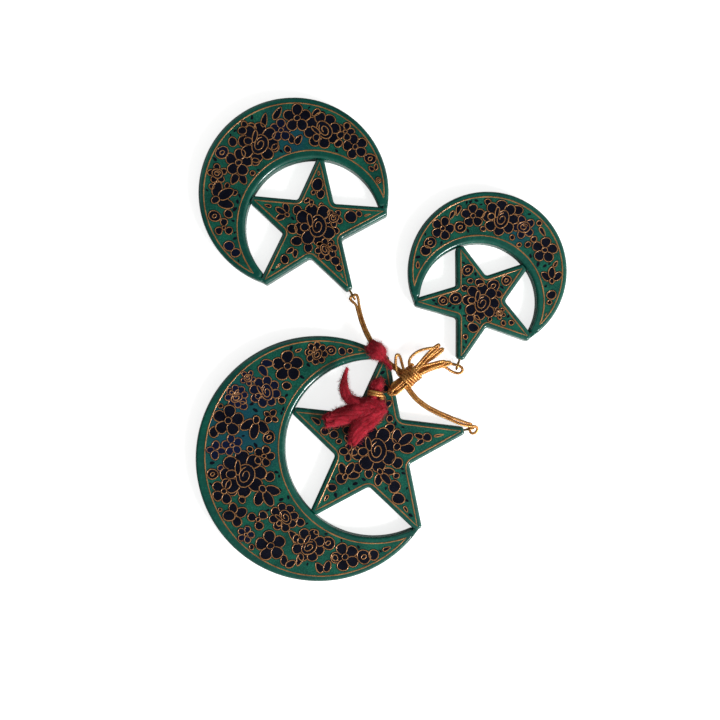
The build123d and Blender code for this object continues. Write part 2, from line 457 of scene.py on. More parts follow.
blue_patches = {"large": (-58.0, -36.0, 34.0), "medium": (-36.0, 84.0, 20.0), "small": (57.0, 45.0, 14.0)}
for shape in ornaments:
    verts = []
    faces = []
    shape.border = (crescent_border(shape), star_border(shape))
    for loop in shape.border:
        prism(loop, paint_foot, ground_top, verts, faces)
    paint = ground_paint(shape.name + "_ground", *blue_patches[shape.name])
    ground = mesh_piece(shape.name + "_painted_ground", verts, faces, paint)
    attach(ground, shape.name + "_ornament")


# The flowers: roses, blossoms, tulips, leaves and berries in navy-black paint, drawn
# round with a thin line of gold, each petal a little raised on the one below it.
line_width = 0.40
line_inside = 0.30
shade_width = 0.14
layer_step = 0.045
bloom = 1.26
small_petal = 1.6
brush = random.Random(11)


def swung(x, y, u, v, turn):
    c = math.cos(math.radians(turn))
    s = math.sin(math.radians(turn))
    return (x + u * c - v * s, y + u * s + v * c)


def egg(x, y, long, wide, turn, point, phase):
    count = 10 if max(long, wide) < small_petal else 14
    loop = []
    for i in range(count):
        a = 2 * math.pi * i / count
        wobble = 1 + 0.035 * math.sin(2 * a + phase) + 0.03 * math.sin(3 * a + 2 * phase)
        u = long * math.cos(a) * wobble
        v = wide * math.sin(a) * wobble * (1 - point * (1 + math.cos(a)) / 2)
        loop.append(swung(x, y, u, v, turn))
    return loop


def petal(work, x, y, long, wide, turn, point=0.0, layer=0, blue=0.0):
    phase = brush.uniform(0, 2 * math.pi)
    inside = min(line_inside, 0.4 * min(long, wide))
    dark = egg(x, y, long + shade_width, wide + shade_width, turn, point, phase)
    work.petals.append((dark, layer, blue))
    work.strokes.append((egg(x, y, long - inside, wide - inside, turn, point, phase), True, layer))


def out_from(x, y, reach, turn):
    return x + reach * math.cos(math.radians(turn)), y + reach * math.sin(math.radians(turn))


def arc_line(work, x, y, long, wide, turn, start, end, layer):
    line = []
    steps = max(4, int(abs(end - start) / 28))
    for i in range(steps + 1):
        share = i / steps
        a = math.radians(start + (end - start) * share)
        shrink = 1 - 0.62 * share if abs(end - start) > 360 else 1
        line.append(swung(x, y, long * math.cos(a) * shrink, wide * math.sin(a) * shrink, turn))
    work.strokes.append((line, False, layer))


def berry(work, x, y, r, blue=0.0):
    petal(work, x, y, r * 1.04, r * 0.94, brush.uniform(0, 180), 0, 0, blue)


def ring(work, x, y, r, blue=0.0):
    petal(work, x, y, r * 1.05, r * 0.92, brush.uniform(0, 180), 0, 0, blue)
    inner = max(0.3, r * 0.34)
    work.strokes.append((egg(x, y, inner, inner * 0.8, 30, 0, 1.0), True, 0))


def leaf(work, x, y, r, turn, blue=0.0):
    petal(work, x, y, r, r * 0.66, turn, 0.6, 0, blue)


def wedge(work, x, y, r, turn):
    petal(work, x, y, r, r * 0.4, turn, 0.8)


def heart(work, x, y, r, turn, blue=0.0):
    for side in (-1, 1):
        at = out_from(x, y, r * 0.42, turn + side * 68)
        petal(work, *at, r * 0.62, r * 0.5, turn + 180 - side * 26, 0.4, (side + 1) // 2, blue)


def tulip(work, x, y, r, turn, blue=0.0):
    base = out_from(x, y, r * 0.5, turn + 180)
    for side in (-1, 1):
        at = out_from(*base, r * 0.74, turn + side * 50)
        petal(work, *at, r * 0.62, r * 0.42, turn + side * 50, 0.1, 0, blue)
    at = out_from(*base, r * 0.84, turn)
    petal(work, *at, r * 0.66, r * 0.42, turn, 0.15, 1, blue)
    petal(work, *base, r * 0.34, r * 0.3, turn, 0, 2, blue)


def blossom(work, x, y, r, turn, count=5, blue=0.0):
    wide = r * (2.3 / count if count > 3 else 0.5)
    for k in range(count):
        heading = turn + 360 * k / count
        at = out_from(x, y, r * 0.57, heading)
        layer = 2 if k == count - 1 else k % 2
        petal(work, *at, r * 0.44, wide, heading + 180, 0.25, layer, blue)
    petal(work, x, y, r * 0.27, r * 0.25, turn, 0, 3, blue)


def cluster(work, x, y, r, turn, blue=0.0):
    for layer, (heading, reach, size) in enumerate(
        ((0, 0.5, 0.5), (85, 0.52, 0.44), (170, 0.46, 0.52), (265, 0.54, 0.46))
    ):
        at = out_from(x, y, r * reach, turn + heading)
        petal(work, *at, r * size, r * size * 0.86, turn + heading, 0, layer % 3, blue)


def spiral(work, x, y, r, turn, blue=0.0):
    for k, heading in enumerate((20, 95, 170, 240, 305)):
        at = out_from(x, y, r * 0.6, turn + heading)
        petal(work, *at, r * 0.4, r * 0.36, turn + heading, 0, k % 2, blue)
    petal(work, x, y, r * 0.56, r * 0.5, turn, 0, 2, blue)
    arc_line(work, x, y, r * 0.34, r * 0.28, turn, 0, 470, 2)


def rose(work, x, y, r, turn, blue=0.0):
    work.petals.append((egg(x, y, r * 0.8, r * 0.78, turn, 0, 0.4), -0.3, blue))
    for k in range(8):
        heading = turn + 24 + 360 * k / 8
        at = out_from(x, y, r * 0.66, heading)
        petal(work, *at, r * 0.36, r * 0.36, heading + 180, 0.25, k % 2, blue)
    at = out_from(x, y, r * 0.12, turn + 250)
    petal(work, *at, r * 0.54, r * 0.42, turn, 0, 2, blue)
    arc_line(work, *at, r * 0.38, r * 0.27, turn, 20, 480, 2)
    at = out_from(x, y, r * 0.5, turn + 112)
    petal(work, *at, r * 0.24, r * 0.22, turn + 112, 0, 3, blue)
    at = out_from(x, y, r * 0.34, turn + 60)
    petal(work, *at, r * 0.34, r * 0.15, turn + 20, 0, 3, blue)


border_gap = 0.15
filler_tries = 1600
least_filler = 0.75
most_filler = 2.4
berry_from = 1.2
tulip_from = 1.9


def border_edges(work):
    return [edge for loop in work.border for edge in zip(loop, loop[1:] + loop[:1])]


def nearest_on_border(work, x, y):
    spots = []
    for (ax, ay), (bx, by) in border_edges(work):
        run = (bx - ax) ** 2 + (by - ay) ** 2
        share = min(1.0, max(0.0, ((x - ax) * (bx - ax) + (y - ay) * (by - ay)) / run))
        spots.append((ax + (bx - ax) * share, ay + (by - ay) * share))
    return min(spots, key=lambda spot: math.dist((x, y), spot))


def gap_to_border(work, x, y):
    return math.dist((x, y), nearest_on_border(work, x, y))


def inside_border(work, x, y):
    crossings = 0
    for (ax, ay), (bx, by) in border_edges(work):
        if (ay > y) != (by > y) and x < ax + (bx - ax) * (y - ay) / (by - ay):
            crossings += 1
    return crossings % 2 == 1


def eased_in(work, x, y, r):
    for _ in range(3):
        edge = nearest_on_border(work, x, y)
        gap = math.dist((x, y), edge)
        push = 0.5 * min(max(r + border_gap - gap, 0.0), 1.6)
        moved = (x + (x - edge[0]) / gap * push, y + (y - edge[1]) / gap * push)
        if not inside_border(work, *moved) or gap_to_border(work, *moved) < gap:
            break
        x, y = moved
    return x, y


def fill_gaps(work, taken):
    xs = [spot[0] for loop in work.border for spot in loop]
    ys = [spot[1] for loop in work.border for spot in loop]
    for _ in range(filler_tries):
        x = brush.uniform(min(xs), max(xs))
        y = brush.uniform(min(ys), max(ys))
        free = min(math.dist((x, y), (cx, cy)) - r for cx, cy, r in taken)
        if free < least_filler or not inside_border(work, x, y):
            continue
        r = min(free - 0.1, gap_to_border(work, x, y) - 0.35, most_filler)
        if r < least_filler - 0.1:
            continue
        if r > tulip_from:
            tulip(work, x, y, r, brush.uniform(0, 360))
        elif r > berry_from:
            berry(work, x, y, r)
        else:
            dab = egg(x, y, r, r * 0.7, brush.uniform(0, 360), 0.4, brush.uniform(0, 6))
            work.petals.append((dab, 0, 0.0))
        taken.append((x, y, r))


large, medium, small = ornaments
large_flowers = [
    (blossom, -38.0, -10.9, 5.2, 20), (rose, -26.4, -5.3, 3.9, 60), (ring, -20.4, -4.5, 1.8),
    (berry, -15.9, -4.9, 1.45), (berry, -12.7, -4.7, 1.1), (wedge, -8.7, -4.5, 2.0, 0),
    (heart, -46.4, -11.7, 3.6, 150, 0.6), (spiral, -54.1, -15.7, 2.8, 40, 0.7),
    (rose, -59.7, -22.5, 4.0, 30, 0.9), (rose, -47.2, -21.3, 5.2, 100, 0.5),
    (berry, -38.4, -18.9, 1.6), (berry, -40.4, -24.8, 1.4), (berry, -56.1, -26.9, 1.6, 0.8),
    (berry, -65.3, -27.1, 1.0), (leaf, -33.6, -4.5, 1.3, 20), (blossom, -62.1, -33.0, 5.2, 10),
    (tulip, -51.2, -35.4, 4.4, 260), (cluster, -44.8, -31.4, 2.8, 60), (berry, -68.9, -37.4, 2.0),
    (ring, -45.6, -39.8, 2.2), (blossom, -60.5, -43.0, 3.6, 30, 5, 1.0),
    (cluster, -68.9, -45.0, 3.6, 90, 0.8), (blossom, -47.6, -47.4, 3.6, 0), (rose, -56.1, -54.6, 7.6, 70),
    (ring, -70.1, -55.0, 2.2), (berry, -65.3, -52.2, 1.2, 0.8), (berry, -53.3, -44.6, 1.2),
    (berry, -45.2, -55.8, 1.8), (tulip, -46.8, -63.1, 4.4, 300), (blossom, -64.5, -61.9, 4.4, 0),
    (berry, -56.5, -65.1, 1.4), (berry, -66.1, -69.5, 0.9), (cluster, -60.5, -71.9, 4.4, 20),
    (blossom, -50.0, -73.1, 3.6, 40, 3), (rose, -39.6, -72.3, 4.8, 120), (berry, -32.8, -74.3, 1.6),
    (blossom, -56.1, -80.3, 3.2, 0, 5, 0.5), (blossom, -45.2, -84.3, 5.2, 25), (rose, -29.6, -83.5, 5.6, 40),
    (leaf, -35.4, -80.0, 2.8, 130), (heart, -38.4, -91.5, 3.4, 240), (leaf, -33.2, -89.5, 2.4, 250),
    (ring, -21.6, -82.7, 2.4), (heart, -23.6, -92.3, 3.4, 280), (blossom, -14.7, -88.3, 4.8, 40),
    (berry, -18.8, -88.7, 1.2), (ring, -7.1, -88.3, 2.5), (berry, -3.1, -87.5, 1.9),
    (leaf, 2.5, -85.5, 1.6, 20), (berry, -26.4, -78.3, 1.0),
    (rose, -2.7, -44.6, 7.6, 80), (berry, 3.3, -36.2, 1.8), (tulip, 8.5, -41.8, 4.4, 40),
    (berry, 6.5, -50.2, 2.0), (heart, 14.9, -40.6, 2.6, 10), (berry, 18.6, -39.8, 1.6),
    (wedge, 23.4, -39.0, 1.8, 10), (tulip, -13.5, -53.8, 3.6, 60), (berry, -9.5, -52.2, 1.8),
    (berry, -16.3, -56.6, 2.0), (berry, -20.0, -60.2, 1.6), (leaf, -22.8, -64.3, 1.4, 235),
    (tulip, 0.9, -55.4, 3.6, 310), (berry, -5.1, -54.6, 1.6), (berry, 5.3, -59.8, 2.2),
    (berry, 6.9, -64.7, 2.2), (berry, 6.1, -55.4, 1.2), (leaf, 9.4, -69.6, 1.4, 300),
    (berry, -19.2, -38.6, 1.6), (leaf, -26.4, -31.4, 2.2, 145), (cluster, -13.5, -45.8, 3.2, 0),
    (blossom, -11.5, -38.0, 3.6, 10), (berry, -1.4, -32.4, 1.6), (tulip, 0.6, -26.0, 2.8, 85),
    (berry, 1.8, -19.8, 1.5), (leaf, 2.8, -15.2, 1.4, 85),
]
medium_flowers = [
    (leaf, -42.4, 93.2, 2.7, 60), (blossom, -34.1, 91.7, 5.0, 18), (heart, -25.2, 92.3, 3.0, 60),
    (leaf, -47.5, 89.0, 2.4, 80), (cluster, -55.6, 86.6, 3.4, 30), (rose, -49.9, 79.8, 6.6, 60),
    (ring, -52.9, 85.2, 2.2), (berry, -60.3, 80.1, 1.7), (berry, -43.0, 77.7, 1.5),
    (blossom, -40.7, 84.8, 3.9, 20, 5, 0.5), (heart, -35.0, 81.8, 3.0, 260), (rose, -24.0, 84.8, 6.0, 120),
    (blossom, -14.2, 84.8, 3.3, 0), (berry, -17.4, 79.5, 1.5), (blossom, -10.3, 78.3, 4.5, 30),
    (ring, -4.0, 73.5, 2.1), (heart, -2.6, 70.2, 2.1, 290), (ring, -0.5, 64.6, 1.9),
    (wedge, 0.7, 60.1, 2.2, 280), (ring, -65.4, 76.2, 2.4, 0.4), (blossom, -57.9, 71.7, 4.7, 10),
    (berry, -51.1, 72.0, 1.5), (spiral, -66.9, 67.3, 3.5, 0), (heart, -57.9, 64.3, 3.4, 90),
    (tulip, -64.8, 58.0, 4.6, 30), (berry, -68.9, 62.0, 1.1), (berry, -62.6, 62.4, 1.1),
    (berry, -59.4, 59.4, 1.1), (ring, -67.7, 50.0, 2.1), (berry, -62.1, 50.9, 1.6),
    (blossom, -63.9, 45.2, 3.2, 90, 3), (berry, -61.8, 37.8, 1.9, 0.6), (berry, -59.1, 35.1, 1.7, 0.4),
    (wedge, -53.4, 28.9, 2.4, 320),
    (rose, -26.7, 46.4, 7.0, 80), (berry, -34.1, 52.4, 1.7), (heart, -29.9, 55.6, 2.2, 60),
    (berry, -24.3, 54.2, 1.1), (spiral, -18.9, 51.2, 3.6, 30), (berry, -12.4, 49.7, 2.2),
    (berry, -9.1, 50.9, 1.2), (wedge, -5.5, 51.8, 1.8, 15), (berry, -18.6, 44.0, 1.4),
    (berry, -36.8, 44.6, 1.9), (berry, -34.4, 39.9, 1.9), (tulip, -39.8, 51.8, 3.0, 150),
    (leaf, -46.3, 53.9, 1.8, 165), (berry, -25.8, 62.8, 2.2), (berry, -24.6, 58.9, 1.6),
    (berry, -27.6, 59.6, 1.0), (leaf, -25.9, 67.6, 1.2, 95), (rose, -21.8, 36.6, 4.4, 300),
    (berry, -29.6, 36.9, 1.7), (berry, -18.6, 31.8, 1.7), (berry, -17.1, 29.0, 1.3),
    (wedge, -15.2, 26.0, 1.6, 300), (heart, -36.2, 34.8, 2.5, 60), (berry, -39.2, 32.4, 1.6),
    (wedge, -41.8, 29.5, 1.4, 225),
]
small_flowers = [
    (rose, 48.3, 49.3, 5.9, 60), (blossom, 37.2, 50.1, 4.0, 20), (leaf, 31.2, 52.3, 1.9, 250),
    (leaf, 28.6, 50.4, 1.7, 240), (ring, 32.0, 45.5, 2.1), (blossom, 24.7, 45.2, 4.0, 0),
    (ring, 19.8, 39.2, 2.1), (berry, 18.0, 36.0, 1.9), (leaf, 15.2, 30.0, 1.8, 90),
    (berry, 43.2, 55.8, 1.2), (berry, 55.4, 52.5, 1.9), (berry, 41.3, 44.8, 1.1),
    (spiral, 57.8, 45.5, 4.0, 10, 0.3), (berry, 64.1, 47.1, 1.1), (leaf, 65.4, 43.6, 1.8, 300),
    (berry, 61.9, 40.6, 1.2), (berry, 59.5, 38.4, 1.2), (blossom, 66.3, 36.2, 4.3, 10),
    (leaf, 70.7, 30.6, 1.4, 60), (tulip, 69.5, 25.6, 3.3, 90), (berry, 69.0, 18.0, 1.7),
    (berry, 68.2, 15.0, 1.0), (wedge, 66.0, 10.2, 2.0, 240),
    (rose, 40.4, 15.3, 6.0, 60), (ring, 34.7, 28.1, 2.1), (berry, 36.1, 23.7, 1.1),
    (berry, 40.4, 23.7, 1.7), (ring, 45.3, 22.1, 2.3), (ring, 51.0, 23.7, 2.1),
    (berry, 32.8, 21.0, 1.4), (ring, 30.1, 16.7, 2.3), (ring, 25.0, 15.8, 1.8),
    (berry, 48.9, 17.5, 1.5), (spiral, 49.7, 12.0, 2.7, 30), (berry, 36.1, 8.5, 1.5),
    (leaf, 39.1, 8.0, 1.8, 300), (berry, 38.3, 4.0, 2.0), (berry, 44.0, 8.0, 0.9),
    (leaf, 54.3, 7.7, 1.4, 330),
]
least_rose = 2.6
least_mark = 0.5
room_share = 0.96
for shape, flowers in ((large, large_flowers), (medium, medium_flowers), (small, small_flowers)):
    taken = []
    for draw, x, y, r, *given in flowers:
        x, y = eased_in(shape, x, y, r * bloom)
        r = min(r * bloom, gap_to_border(shape, x, y) - border_gap)
        if r < least_rose and draw in (rose, spiral):
            blossom(shape, x, y, r, given[0], 4, *given[1:])
        elif r > least_mark:
            draw(shape, x, y, r, *given)
        else:
            continue
        taken.append((x, y, r * room_share))
    fill_gaps(shape, taken)

petal_light = (0.006, 0.008, 0.018)
petal_deep = (0.003, 0.004, 0.010)
petal_blue = (0.006, 0.012, 0.045)
petal_paint = painted("petal_navy", petal_light, petal_deep, (260.0, 1800.0, 0.4), (0.03, 0.5), {
    "Specular IOR Level": 0.15, "Coat Weight": 0.1, "Coat Roughness": 0.25,
})
tint = add_node(petal_paint.node_tree, "ShaderNodeAttribute", attribute_name="blue")
tinted(petal_paint, tint.outputs["Fac"], petal_blue)
petal_rise = 0.02
level_step = 0.0005
levels = 37
for shape in ornaments:
    verts = []
    faces = []
    blues = []
    for count, (loop, layer, blue) in enumerate(shape.petals):
        top = ground_top + petal_rise + layer_step * layer + level_step * (count % levels)
        prism(loop, paint_foot, top, verts, faces)
        blues.extend([blue] * (2 * len(loop)))
    petals = mesh_piece(shape.name + "_petals", verts, faces, petal_paint)
    petals.data.attributes.new("blue", "FLOAT", "POINT").data.foreach_set("value", blues)
    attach(petals, shape.name + "_ornament")


# The gold lines: metallic paint from a fine brush, round every petal and along every
# edge of crescent and star, swelling and thinning as the brush was pressed.
def finish_mesh(tree, geometry, material, handed):
    real = add_node(tree, "GeometryNodeRealizeInstances", {"Geometry": geometry})
    smooth = add_node(tree, "GeometryNodeSetShadeSmooth", {"Geometry": real.outputs["Geometry"]})
    coated = add_node(tree, "GeometryNodeSetMaterial", {
        "Geometry": smooth.outputs["Geometry"], "Material": material,
    })
    feed(tree, handed, {"Geometry": coated.outputs["Geometry"]})


def brush_line():
    tree, given, handed = new_group(
        "brush_line", "GeometryNodeTree",
        {"Geometry": "Geometry", "Width": "Float", "Height": "Float", "Pressure": "Float",
         "Pressure scale": "Float", "Paint": "Material"},
        {"Geometry": "Geometry"},
    )
    curve = add_node(tree, "GeometryNodeMeshToCurve", {"Mesh": given["Geometry"]})
    upright = add_node(tree, "GeometryNodeSetCurveNormal", {"Curve": curve.outputs["Curve"]}, mode="Z_UP")
    swell = add_node(tree, "ShaderNodeTexNoise", {"Scale": given["Pressure scale"], "Detail": 1.0})
    pressed = add_node(tree, "ShaderNodeMapRange", {
        "Value": swell.outputs["Fac"], "From Min": 0.3, "From Max": 0.7,
        "To Min": math_node(tree, "SUBTRACT", 1.0, given["Pressure"]),
        "To Max": math_node(tree, "ADD", 1.0, given["Pressure"]),
    })
    wide = add_node(tree, "GeometryNodeInputNamedAttribute", {"Name": "wide"}).outputs["Attribute"]
    flat = add_node(tree, "ShaderNodeCombineXYZ", {"X": given["Width"], "Y": given["Height"], "Z": 1.0})
    profile = add_node(tree, "GeometryNodeCurvePrimitiveCircle", {"Resolution": 5, "Radius": 0.5})
    shaped = add_node(tree, "GeometryNodeTransform", {
        "Geometry": profile.outputs["Curve"], "Scale": flat.outputs[0],
    })
    ribbon = add_node(tree, "GeometryNodeCurveToMesh", {
        "Curve": upright.outputs["Curve"], "Profile Curve": shaped.outputs["Geometry"],
        "Scale": math_node(tree, "MULTIPLY", pressed.outputs[0], wide), "Fill Caps": True,
    })
    finish_mesh(tree, ribbon.outputs["Mesh"], given["Paint"], handed)
    return tree


def grown(source, tree, name, values):
    grow = source.modifiers.new("grow", "NODES")
    grow.node_group = tree
    for item in tree.interface.items_tree:
        if item.in_out == "INPUT" and item.name in values:
            grow[item.identifier] = values[item.name]
    depsgraph = bpy.context.evaluated_depsgraph_get()
    mesh = bpy.data.meshes.new_from_object(source.evaluated_get(depsgraph))
    mesh.name = name
    bpy.data.objects.remove(source)
    return link(bpy.data.objects.new(name, mesh))


gold_light = (0.58, 0.28, 0.105)
gold_deep = (0.36, 0.16, 0.055)
gold_paint = painted("gold_line_paint", gold_light, gold_deep, (300.0, 1600.0, 0.35), (0.03, 0.5), {
    "Metallic": 0.25,
})
line_tree = brush_line()
line_rise = 0.042
border_share = 1.4
for shape in ornaments:
    verts = []
    edges = []
    widths = []
    for loop, closed, layer in [(loop, True, 0) for loop in shape.border] + shape.strokes:
        first = len(verts)
        widths.extend([border_share if loop in shape.border else 1.0] * len(loop))
        height = (ground_top + line_rise + layer_step * layer) * mm
        verts.extend((x * mm, y * mm, height) for x, y in loop)
        edges.extend((first + i, first + i + 1) for i in range(len(loop) - 1))
        if closed:
            edges.append((first + len(loop) - 1, first))
    sketch_mesh = bpy.data.meshes.new(shape.name + "_sketch")
    sketch_mesh.from_pydata(verts, edges, [])
    sketch_mesh.attributes.new("wide", "FLOAT", "POINT").data.foreach_set("value", widths)
    sketch = link(bpy.data.objects.new(shape.name + "_sketch", sketch_mesh))
    lines = grown(sketch, line_tree, shape.name + "_gold_lines", {
        "Width": line_width * mm, "Height": 0.05 * mm, "Pressure": 0.25,
        "Pressure scale": 420.0, "Paint": gold_paint,
    })
    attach(lines, shape.name + "_ornament")


# The three cords: metallic gold thread twisted in three plies, laid double from the
# tie to each ornament and hitched through its eye.
cord_width = 1.1
strand_pitch = 1.08
mid = face_height / 2


def lay_spline(name, points):
    curve = bpy.data.curves.new(name, "CURVE")
    curve.dimensions = "3D"
    curve.resolution_u = 10
    spline = curve.splines.new("NURBS")
    spline.points.add(len(points) - 1)
    for spot, (x, y, z) in zip(spline.points, points):
        spot.co = (x * mm, y * mm, z * mm, 1)
    spline.order_u = 3
    spline.use_endpoint_u = True
    return link(bpy.data.objects.new(name, curve))


def path_of(source):
    depsgraph = bpy.context.evaluated_depsgraph_get()
    mesh = bpy.data.meshes.new_from_object(source.evaluated_get(depsgraph))
    path = [tuple(v.co) for v in mesh.vertices]
    bpy.data.meshes.remove(mesh)
    return path


def curve_sides(tree):
    normal = add_node(tree, "GeometryNodeInputNormal").outputs[0]
    tangent = add_node(tree, "GeometryNodeInputTangent").outputs[0]
    across = add_node(tree, "ShaderNodeVectorMath", {0: tangent, 1: normal}, operation="CROSS_PRODUCT")
    return normal, across.outputs[0]


def round_the_curve(tree, turn, reach, normal, across):
    arrows = []
    for wave, direction in (("COSINE", normal), ("SINE", across)):
        scale = math_node(tree, "MULTIPLY", math_node(tree, wave, turn), reach)
        arrows.append(add_node(
            tree, "ShaderNodeVectorMath", {0: direction, "Scale": scale}, operation="SCALE"
        ))
    return add_node(
        tree, "ShaderNodeVectorMath", {0: arrows[0].outputs[0], 1: arrows[1].outputs[0]}
    ).outputs[0]


def twisted_cord():
    tree, given, handed = new_group(
        "twisted_cord", "GeometryNodeTree",
        {"Geometry": "Geometry", "Ply radius": "Float", "Lay radius": "Float", "Twist pitch": "Float",
         "Step": "Float", "Thread": "Material"},
        {"Geometry": "Geometry"},
    )
    even = add_node(tree, "GeometryNodeResampleCurve", {
        "Curve": given["Geometry"], "Length": given["Step"],
    }, mode="LENGTH")
    along = add_node(tree, "GeometryNodeSplineParameter").outputs["Length"]
    normal, across = curve_sides(tree)
    turns = math_node(tree, "DIVIDE", along, given["Twist pitch"])
    profile = add_node(tree, "GeometryNodeCurvePrimitiveCircle", {
        "Resolution": 6, "Radius": given["Ply radius"],
    })
    plies = add_node(tree, "GeometryNodeJoinGeometry")
    ply_count = 3
    for ply in range(ply_count):
        turn = math_node(tree, "MULTIPLY_ADD", turns, 2 * math.pi, 2 * math.pi * ply / ply_count)
        moved = add_node(tree, "GeometryNodeSetPosition", {
            "Geometry": even.outputs["Curve"],
            "Offset": round_the_curve(tree, turn, given["Lay radius"], normal, across),
        })
        strand = add_node(tree, "GeometryNodeCurveToMesh", {
            "Curve": moved.outputs["Geometry"], "Profile Curve": profile.outputs["Curve"],
            "Fill Caps": True,
        })
        feed(tree, plies, {"Geometry": strand.outputs["Mesh"]})
    finish_mesh(tree, plies.outputs["Geometry"], given["Thread"], handed)
    return tree


thread_light = (0.93, 0.49, 0.14)
thread_deep = (0.48, 0.19, 0.05)
gold_thread = painted("gold_thread", thread_light, thread_deep, (420.0, 2600.0, 0.3), (0.03, 0.5), {
    "Metallic": 0.65,
})
cord_tree = twisted_cord()


def make_cord(name, points, *nodes_replaced):
    spline = lay_spline(name + "_line", points)
    path = path_of(spline)
    piece = grown(spline, cord_tree, name, {
        "Ply radius": 0.41 * mm, "Lay radius": 0.24 * mm, "Twist pitch": 2.8 * mm,
        "Step": 0.4 * mm, "Thread": gold_thread,
    })
    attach(piece, "tie")
    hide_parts(*nodes_replaced)
    return piece, path


def doubled(route):
    left = []
    right = []
    for i, (x, y, z) in enumerate(route):
        back = route[max(i - 1, 0)]
        ahead = route[min(i + 1, len(route) - 1)]
        run = math.hypot(ahead[0] - back[0], ahead[1] - back[1])
        step_x = -(ahead[1] - back[1]) / run * strand_pitch / 2
        step_y = (ahead[0] - back[0]) / run * strand_pitch / 2
        left.append((x + step_x, y + step_y, z))
        right.append((x - step_x, y - step_y, z))
    return left, right


def hitched(route, hitch, shape):
    left, right = doubled(route)
    c = math.cos(shape.heading)
    s = math.sin(shape.heading)
    x, y = shape.eye_at
    loop = [
        (x + along * c - across * s, y + along * s + across * c, height)
        for along, across, height in hitch
    ]
    return left + loop + right[::-1]


large_route = [
    (9.0, -17.2, 6.8), (12.2, -22.4, 6.9), (17.0, -26.8, 6.9), (22.6, -29.8, 6.9),
    (27.6, -31.9, 6.9),
]
large_hitch = [
    (-3.6, 4.3, 6.8), (-0.6, 2.6, 6.6), (1.0, 1.9, 5.4), (0.6, 1.8, 3.6),
    (0.0, 1.4, mid), (0.0, -1.6, mid), (1.4, -2.3, 3.0), (2.9, -1.3, 3.6),
    (3.1, 0.3, 4.6), (1.6, 0.9, 6.0), (-1.4, 1.7, 6.6), (-4.2, 3.1, 6.8),
]
large_cord, large_path = make_cord(
    "large_gold_cord", hitched(large_route, large_hitch, large), "large_cord"
)

medium_route = [
    (8.4, -13.6, 7.0), (2.7, -9.9, 7.2), (-1.8, -5.0, 7.1),
    (-4.9, 0.2, 6.2), (-7.4, 5.8, 4.5), (-9.0, 11.2, 3.2),
]
medium_hitch = [
    (3.8, -0.6, 2.8), (2.1, -1.4, mid), (0.0, -1.75, mid),
    (0.0, 1.75, mid), (2.1, 1.4, mid), (3.8, 0.6, 2.8),
]
medium_cord, medium_path = make_cord(
    "medium_gold_cord", hitched(medium_route, medium_hitch, medium), "medium_cord"
)

small_route = [(11.6, -14.6, 6.6), (15.6, -12.9, 6.0), (20.6, -11.2, 4.8)]
small_hitch = [
    (0.6, -5.6, 3.6), (0.0, -1.8, mid), (0.0, 1.8, mid),
    (1.6, 2.8, mid), (3.2, 1.6, mid), (3.2, -1.8, mid), (1.8, -5.8, 3.6),
]
small_cord, small_path = make_cord(
    "small_gold_cord", hitched(small_route, small_hitch, small), "small_cord"
)


# The hank: the spare cord folded to and fro in two layers of loops, loose and fanned
# out at its ends and pulled tight at its waist.
hank_place = (
    Matrix.Translation((11.7, -14.9, 6.8))
    @ Matrix.Rotation(math.radians(42), 4, "Z")
    @ Matrix.Rotation(math.radians(6), 4, "Y")
)


def placed(points, place):
    return [tuple(place @ Vector(p)) for p in points]


hank_points = [
    (0.0, -1.75, -0.65), (5.0, -2.6, -0.8), (10.0, -4.6, -0.8), (14.8, -7.0, -0.8), (16.4, -7.3, -0.8),
    (15.8, -6.0, -0.8), (11.0, -3.4, -0.8), (5.5, -1.4, -0.7), (0.0, -0.6, -0.65), (-5.0, -0.6, -0.7),
    (-10.2, -1.1, -0.6), (-11.6, 0.2, -0.6), (-10.4, 1.5, -0.6), (-5.5, 1.2, -0.65), (0.0, 0.6, -0.65),
    (6.0, 0.2, -0.7), (12.0, -0.9, -0.6), (16.8, -1.3, -0.4), (17.8, -0.7, -0.4), (16.8, -0.1, -0.4),
    (11.0, 0.3, -0.6), (5.0, 1.2, -0.7), (0.0, 1.75, -0.65), (-5.0, 2.0, -0.6), (-8.0, 2.3, -0.4),
    (-9.4, 1.0, 0.0), (-8.0, -0.4, 0.4), (-4.0, -0.6, 0.6), (0.0, -0.6, 0.65), (5.0, 0.0, 0.8),
    (11.0, 0.9, 0.9), (16.4, 0.9, 1.0), (17.5, 1.5, 1.0), (16.4, 2.1, 1.0), (11.0, 2.0, 0.9),
    (5.0, 1.2, 0.8), (0.0, 0.6, 0.65), (-5.5, 0.3, 0.7), (-9.8, 0.5, 0.8), (-10.8, -0.6, 0.8),
    (-9.6, -1.7, 0.8), (-5.0, -1.8, 0.7), (0.0, -1.75, 0.65), (4.5, -2.1, 0.6), (9.5, -3.7, 0.3),
    (13.4, -5.5, 0.2), (14.8, -5.3, 0.2), (13.8, -4.2, 0.3), (9.0, -1.8, 0.8), (4.5, 0.6, 0.9),
    (0.0, 1.75, 0.65), (-3.2, 2.1, 0.7), (-3.6, 4.0, 1.0), (-1.2, 8.0, 1.3), (1.6, 10.4, 1.4),
    (2.2, 8.8, 1.3), (0.4, 5.6, 1.4), (-0.6, 3.6, 1.6),
]
hank, hank_path = make_cord("gold_cord_hank", placed(hank_points, hank_place), "cord_hank")


# The whipping: six close turns of the same gold cord, wound by hand and pulled tight
# round the hank's waist to hold its folds together.
whip_turns = 6
whip_radius = 3.25
whip_pitch = 1.14
slack = 1.03
unevenness = 0.05
turn_points = 12


def helix(turns, pitch, reach, uneven):
    points = []
    for i in range(turn_points * turns + 1):
        angle = math.radians(45 + 360 * i / turn_points)
        out = reach * (1 + uneven * math.sin(1.7 * i))
        along = pitch * (i / turn_points - turns / 2)
        points.append((along, out * math.cos(angle), out * math.sin(angle)))
    return points


